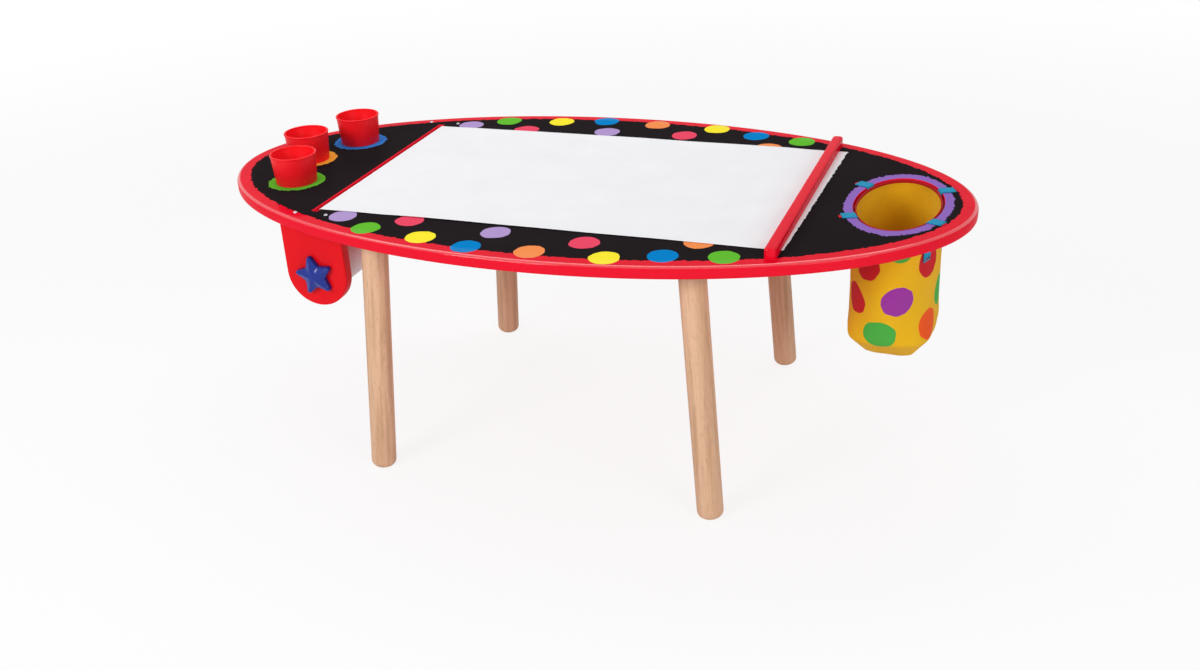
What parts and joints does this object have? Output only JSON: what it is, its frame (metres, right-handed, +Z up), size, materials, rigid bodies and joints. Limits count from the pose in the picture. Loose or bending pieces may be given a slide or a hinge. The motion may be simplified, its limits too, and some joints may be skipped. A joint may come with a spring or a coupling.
{
  "type": "art table",
  "caption": "Low oval children's art table with a paper roll hung under one end, a feed slot, a tear bar, lift-out cups and a fabric bag in an oval hole.",
  "frame": {"origin": "on the floor under the middle of the oval top", "axes": "+Z up; +X along the top's length, towards the fabric bag; -X towards the cups and the roll; -Y is the front"},
  "size_m": [1.3, 0.706, 0.502],
  "materials": {
    "printed_board": "satin printed top with a gloss red painted rim",
    "natural_wood": "clear satin lacquer",
    "steel": "zinc plated",
    "red_paint": "gloss paint",
    "blue_plastic": "gloss",
    "paper": "matt drawing paper",
    "cardboard": "matt board",
    "red_plastic": "satin moulded",
    "yellow_fabric": "woven nylon",
    "red_fabric": "woven tape",
    "blue_webbing": "woven webbing",
    "red_pad": "loop fastener"
  },
  "bodies": {
    "table": {"bag_binding": "red_fabric", "bag_strap_front_left": "blue_webbing", "bag_strap_front_right": "blue_webbing", "bag_strap_rear_left": "blue_webbing", "bag_strap_rear_right": "blue_webbing", "fabric_bag": "yellow_fabric", "hanger_bolts": "steel", "leg_front_left": "natural_wood", "leg_front_right": "natural_wood", "leg_plate_front_left": "steel", "leg_plate_front_right": "steel", "leg_plate_rear_left": "steel", "leg_plate_rear_right": "steel", "leg_rear_left": "natural_wood", "leg_rear_right": "natural_wood", "paper_sheet": "paper", "roll_bracket_front": "red_paint", "roll_bracket_rear": "red_paint", "strap_pads": "red_pad", "tabletop": "printed_board", "tear_bar": "red_paint"},
    "spindle": {"spindle": "natural_wood", "star_knob_front": "blue_plastic", "star_knob_rear": "blue_plastic"},
    "roll": {"core_tube": "cardboard", "paper_roll": "paper"},
    "cup_front": {"cup_front": "red_plastic"},
    "cup_middle": {"cup_middle": "red_plastic"},
    "cup_rear": {"cup_rear": "red_plastic"}
  },
  "joints": [
    {"name": "spindle_spin", "type": "hinge", "parent": "table", "child": "spindle", "pos_m": [-0.382, 0, 0.346], "axis": [0, 1, 0], "continuous": true},
    {"name": "roll_spin", "type": "hinge", "parent": "spindle", "child": "roll", "pos_m": [-0.382, 0, 0.346], "axis": [0, 1, 0], "continuous": true},
    {"name": "cup_front_lift", "type": "slide", "parent": "table", "child": "cup_front", "axis": [0, 0, 1], "range_m": [0, 0.08]},
    {"name": "cup_middle_lift", "type": "slide", "parent": "table", "child": "cup_middle", "axis": [0, 0, 1], "range_m": [0, 0.08]},
    {"name": "cup_rear_lift", "type": "slide", "parent": "table", "child": "cup_rear", "axis": [0, 0, 1], "range_m": [0, 0.08]}
  ]
}
